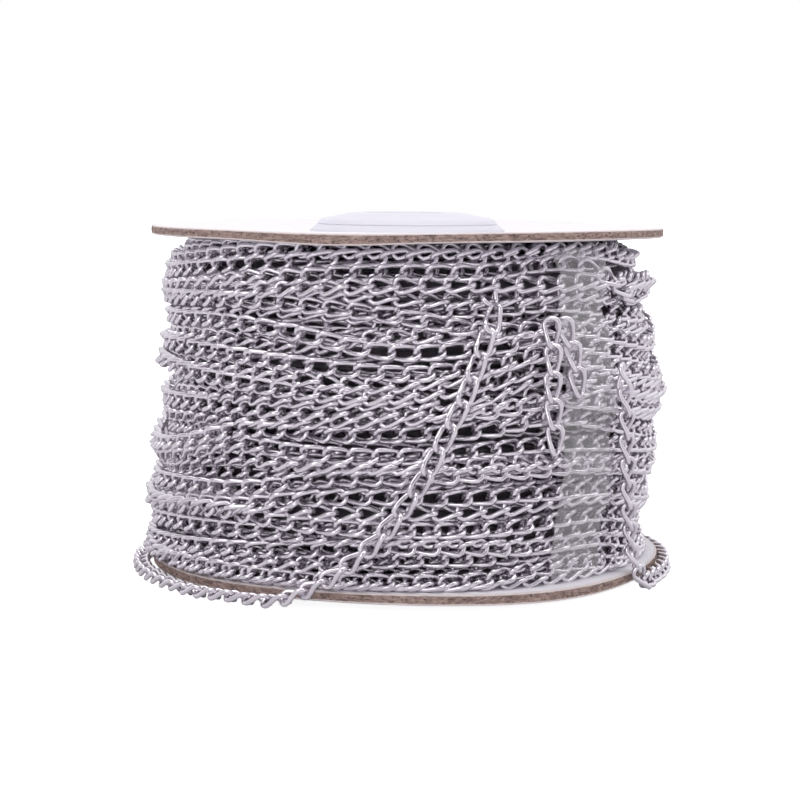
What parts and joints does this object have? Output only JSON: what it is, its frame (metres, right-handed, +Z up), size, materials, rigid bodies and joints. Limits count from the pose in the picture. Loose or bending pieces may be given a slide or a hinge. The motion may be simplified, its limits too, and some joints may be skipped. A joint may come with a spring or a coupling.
{
  "type": "reel of curb chain",
  "caption": "Reel of fine steel curb chain, wound full between chipboard discs, with a taped edge, a slipped turn round its foot and a loose end.",
  "frame": {"origin": "centre of the reel on the floor, on the reel's axis at the hub's lower face", "axes": "+Z up along the reel's axis, -Y towards the viewer of the reference view, +X to the right"},
  "size_m": [0.1067, 0.105, 0.0699],
  "materials": {
    "chipboard": "grey-brown chipboard, rough fibrous cut edge, white paper faces",
    "hub_plastic": "white moulded plastic, satin",
    "chain_steel": "bright plated steel wire, slightly satin",
    "tape_film": "milky translucent adhesive tape"
  },
  "bodies": {
    "root": {"bottom_disc": "chipboard", "top_disc": "chipboard", "hub": "hub_plastic", "wound_chain": "chain_steel", "slipped_turn": "chain_steel", "chain_tail": "chain_steel", "tape_strip": "tape_film"}
  },
  "joints": []
}
